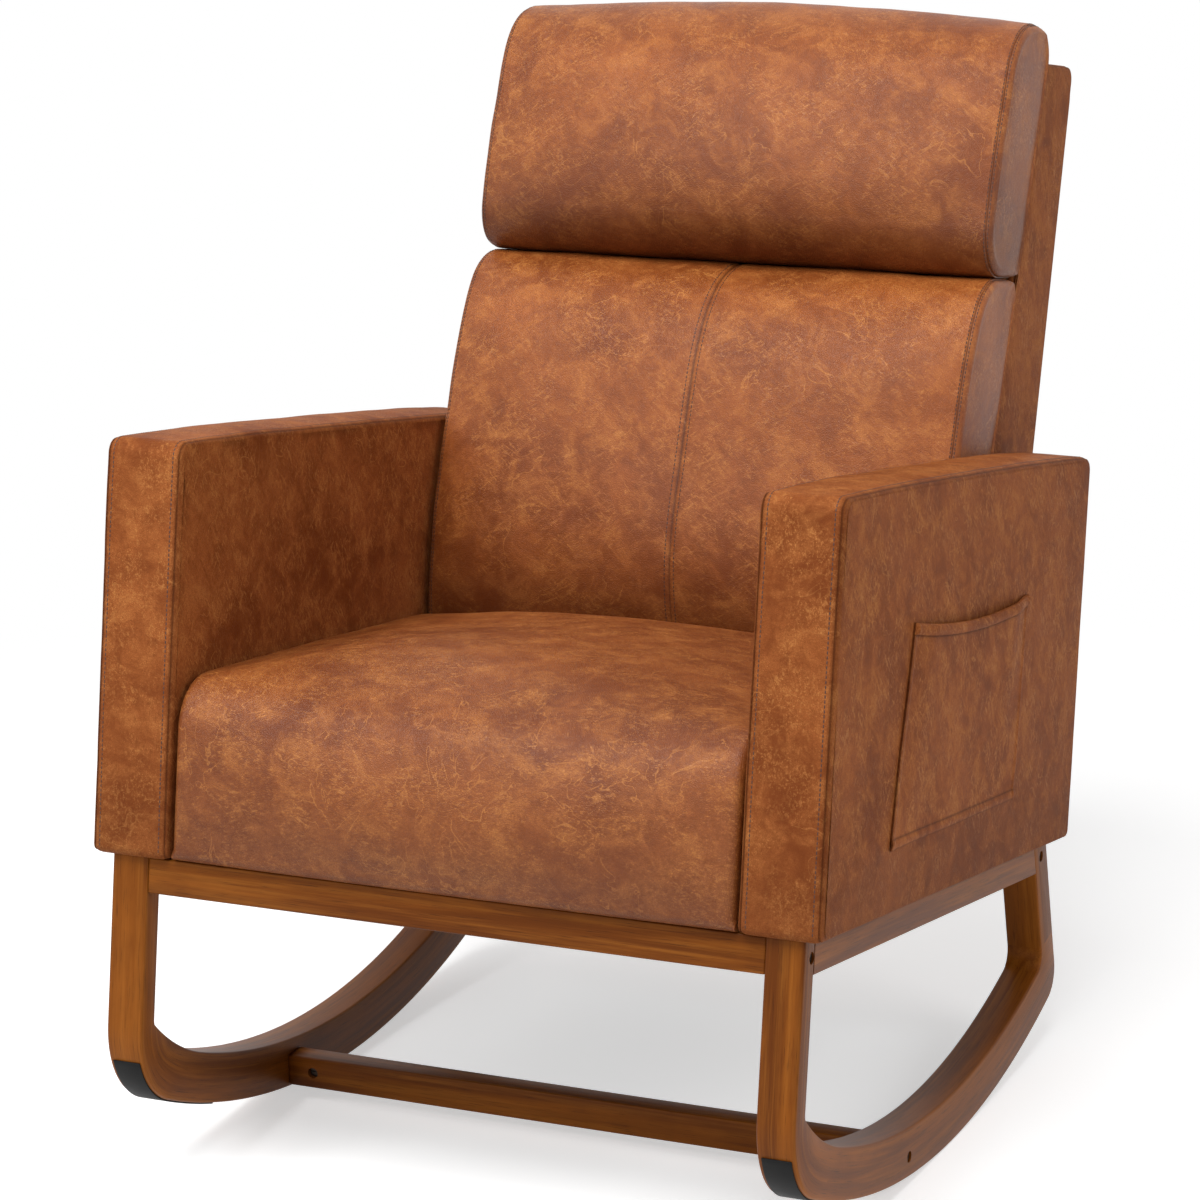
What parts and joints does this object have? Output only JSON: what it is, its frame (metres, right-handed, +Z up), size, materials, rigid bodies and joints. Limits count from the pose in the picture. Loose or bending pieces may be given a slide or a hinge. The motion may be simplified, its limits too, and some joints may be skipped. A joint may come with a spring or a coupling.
{
  "type": "upholstered rocking chair",
  "caption": "High-back upholstered rocking chair: padded arms, crowned seat, back with head cushion, side pocket, timber base with curved runners and a stretcher.",
  "frame": {"origin": "on the floor, under the middle of the overall box, with the chair in its rest pose", "axes": "+Z up, +Y towards the back of the chair, +X across it towards the arm with the pocket"},
  "size_m": [0.689, 0.9122, 0.9791],
  "materials": {
    "stained_wood": "walnut-stained hardwood under satin lacquer",
    "pine": "bare sawn softwood and plywood, hidden",
    "leather": "mottled cognac leather, soft sheen",
    "back_leather": "mottled cognac leather over loose fibre, soft sheen",
    "black_rubber": "matt black",
    "zinc_steel": "zinc-plated",
    "dark_steel": "blackened",
    "brass": "turned",
    "felt": "pressed felt",
    "black_cloth": "thin non-woven cloth",
    "webbing": "woven elastic webbing"
  },
  "bodies": {
    "root": {"front_leg_right": "stained_wood", "front_leg_left": "stained_wood", "runner_right": "stained_wood", "runner_left": "stained_wood", "rear_leg_right": "stained_wood", "rear_leg_left": "stained_wood", "side_rail_right": "stained_wood", "side_rail_left": "stained_wood", "front_rail": "stained_wood", "rear_rail": "stained_wood", "stretcher": "stained_wood", "runner_pads": "black_rubber", "frame_bolts": "dark_steel", "barrel_nuts": "dark_steel", "rail_dowels": "pine", "loop_dowels": "pine", "seat_front_board": "pine", "seat_rear_board": "pine", "seat_side_board_right": "pine", "seat_side_board_left": "pine", "back_deck_board": "pine", "seat_corner_blocks": "pine", "seat_springs": "zinc_steel", "spring_clips": "zinc_steel", "seat_felt": "felt", "seat_cushion": "leather", "dust_cloth": "black_cloth", "arm_bottom_rail_right": "pine", "arm_bottom_rail_left": "pine", "arm_top_rail_right": "pine", "arm_top_rail_left": "pine", "arm_front_post_right": "pine", "arm_front_post_left": "pine", "arm_middle_post_right": "pine", "arm_middle_post_left": "pine", "arm_rear_post_right": "pine", "arm_rear_post_left": "pine", "arm_cover_right": "leather", "arm_cover_left": "leather", "side_pocket": "leather", "pocket_hem": "leather", "base_bolts": "zinc_steel", "seat_bolts": "zinc_steel", "thread_inserts": "brass", "back_stile_right": "pine", "back_stile_left": "pine", "back_top_rail": "pine", "back_middle_rail": "pine", "back_bottom_rail": "pine", "back_webbing": "webbing", "back_rear_panel": "back_leather", "back_top_panel": "back_leather", "back_side_panel_right": "back_leather", "back_side_panel_left": "back_leather", "lumbar_cushion": "back_leather", "head_cushion": "back_leather", "back_brackets": "zinc_steel", "bracket_screws": "zinc_steel"}
  },
  "joints": []
}
